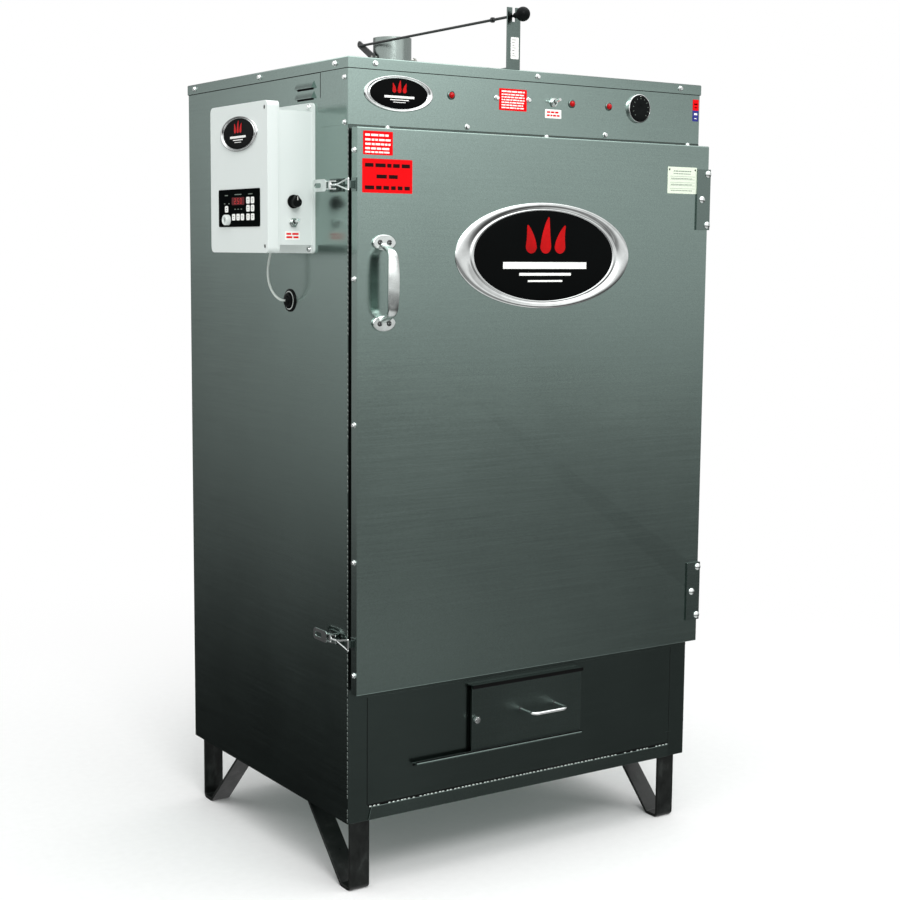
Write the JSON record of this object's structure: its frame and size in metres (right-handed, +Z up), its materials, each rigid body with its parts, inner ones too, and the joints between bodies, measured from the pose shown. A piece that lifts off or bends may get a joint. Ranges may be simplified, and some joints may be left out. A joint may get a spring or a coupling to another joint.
{
  "type": "electric cabinet smoker",
  "caption": "Sheet-steel electric smoker cabinet on bent-bar legs, with a hinged insulated door, draw latches, a sliding sawdust door, a roof stack with damper and a side control box.",
  "frame": {"origin": "on the floor, under the middle of the whole object's bounding box", "axes": "+X to the right seen from the front, +Y to the back, +Z up; the door faces -Y"},
  "size_m": [0.875, 0.6857, 1.522],
  "materials": {
    "stainless": "brushed, glossy, vertical grain",
    "inner_steel": "mill finish",
    "bright_metal": "bright",
    "zinc_steel": "zinc plated",
    "cast_pull": "polished casting",
    "black_legs": "dark, glossy",
    "dark_steel": "dark oxide",
    "element_sheath": "heat-darkened sheath",
    "white_plastic": "moulded, fine grain",
    "black_plastic": "moulded",
    "keypad": "overlay film",
    "badge": "black with a bright rim",
    "red_lens": "clear red lens",
    "board": "solder mask",
    "gasket": "silicone strip",
    "wool": "mineral wool",
    "lead_jacket": "flexible jacket"
  },
  "bodies": {
    "cabinet": {"left_side_panel": "stainless", "right_side_panel": "stainless", "back_panel": "stainless", "front_frame": "stainless", "lower_front_panel": "stainless", "header_panel": "stainless", "top_cap": "stainless", "bottom_panel": "stainless", "control_deck": "zinc_steel", "chamber_liner": "inner_steel", "insulation": "wool", "racks": "bright_metal", "drip_tray": "inner_steel", "heating_elements": "element_sheath", "sawdust_pan": "inner_steel", "fan_motor": "dark_steel", "thermostat": "dark_steel", "pilot_lights": "red_lens", "switch_bodies": "zinc_steel", "speed_control": "dark_steel", "terminal_block": "black_plastic", "badges": "badge", "control_box": "white_plastic", "control_box_lid": "white_plastic", "controller_board": "board", "keypad_panel": "keypad", "probe_jack": "white_plastic", "signal_lead": "lead_jacket", "lead_gland": "black_plastic", "exhaust_stack": "stainless", "rod_bracket": "zinc_steel", "frame_hinge_leaves": "stainless", "latch_bases": "bright_metal", "legs": "black_legs", "fasteners": "zinc_steel"},
    "fan": {"fan_wheel": "inner_steel"},
    "thermostat_dial": {"thermostat_dial": "black_plastic"},
    "power_lever": {"power_switch_lever": "bright_metal"},
    "box_lever": {"box_switch_lever": "bright_metal"},
    "speed_knob": {"fan_speed_knob": "black_plastic"},
    "damper": {"damper_blade": "inner_steel", "damper_crank": "dark_steel"},
    "rod": {"damper_rod": "dark_steel", "rod_knob": "black_plastic"},
    "door": {"door_skin": "stainless", "door_back_pan": "inner_steel", "door_insulation": "wool", "door_gasket": "gasket", "door_handle": "cast_pull", "door_badge": "badge", "door_hinge_leaves": "stainless", "latch_keepers": "bright_metal", "door_fasteners": "zinc_steel"},
    "upper_lever": {"upper_latch_lever": "bright_metal"},
    "upper_bail": {"upper_latch_bail": "bright_metal"},
    "lower_lever": {"lower_latch_lever": "bright_metal"},
    "lower_bail": {"lower_latch_bail": "bright_metal"},
    "sawdust_door": {"sawdust_door": "stainless", "sawdust_door_pull": "bright_metal"},
    "sawdust_screw": {"sawdust_door_screw": "bright_metal"}
  },
  "joints": [
    {"name": "fan_spin", "type": "hinge", "parent": "cabinet", "child": "fan", "pos_m": [0.2225, 0.055, 1.26], "axis": [0, 0, 1], "continuous": true},
    {"name": "dial_turn", "type": "hinge", "parent": "cabinet", "child": "thermostat_dial", "pos_m": [0.2725, -0.28, 1.366], "axis": [0, -1, 0], "range_deg": [-135, 135]},
    {"name": "power_switch_throw", "type": "hinge", "parent": "cabinet", "child": "power_lever", "pos_m": [0.079, -0.276, 1.366], "axis": [1, 0, 0], "range_deg": [0, 24]},
    {"name": "box_switch_throw", "type": "hinge", "parent": "cabinet", "child": "box_lever", "pos_m": [-0.379, -0.163, 1.15], "axis": [1, 0, 0], "range_deg": [0, 24]},
    {"name": "speed_knob_turn", "type": "hinge", "parent": "cabinet", "child": "speed_knob", "pos_m": [-0.3785, -0.17, 1.185], "axis": [0, -1, 0], "range_deg": [-135, 135]},
    {"name": "damper_turn", "type": "hinge", "parent": "cabinet", "child": "damper", "pos_m": [0.0425, 0.209, 1.483], "axis": [1, 0, 0], "range_deg": [0, 75]},
    {"name": "rod_pivot", "type": "hinge", "parent": "damper", "child": "rod", "pos_m": [-0.002, 0.253, 1.508], "axis": [1, 0, 0], "range_deg": [-74, 0]},
    {"name": "door_swing", "type": "hinge", "parent": "cabinet", "child": "door", "pos_m": [0.4315, -0.271, 0.83], "axis": [0, 0, 1], "range_deg": [0, 165]},
    {"name": "upper_latch_throw", "type": "hinge", "parent": "cabinet", "child": "upper_lever", "pos_m": [-0.3445, -0.245, 1.211], "axis": [0, 0, 1], "range_deg": [0, 125]},
    {"name": "upper_bail_pivot", "type": "hinge", "parent": "upper_lever", "child": "upper_bail", "pos_m": [-0.3495, -0.237, 1.211], "axis": [0, 0, 1], "range_deg": [-126, 0]},
    {"name": "lower_latch_throw", "type": "hinge", "parent": "cabinet", "child": "lower_lever", "pos_m": [-0.3445, -0.245, 0.448], "axis": [0, 0, 1], "range_deg": [0, 125]},
    {"name": "lower_bail_pivot", "type": "hinge", "parent": "lower_lever", "child": "lower_bail", "pos_m": [-0.3495, -0.237, 0.448], "axis": [0, 0, 1], "range_deg": [-126, 0]},
    {"name": "sawdust_door_slide", "type": "slide", "parent": "cabinet", "child": "sawdust_door", "axis": [-1, 0, 0], "range_m": [0, 0.115]},
    {"name": "sawdust_screw_turn", "type": "hinge", "parent": "sawdust_door", "child": "sawdust_screw", "pos_m": [-0.0805, -0.289, 0.276], "axis": [0, 1, 0], "range_deg": [-720, 0]}
  ],
  "couplings": [
    {"joint": "rod_pivot", "follows": "damper_turn", "ratio": -0.964},
    {"joint": "upper_bail_pivot", "follows": "upper_latch_throw", "ratio": -1},
    {"joint": "lower_bail_pivot", "follows": "lower_latch_throw", "ratio": -1}
  ]
}
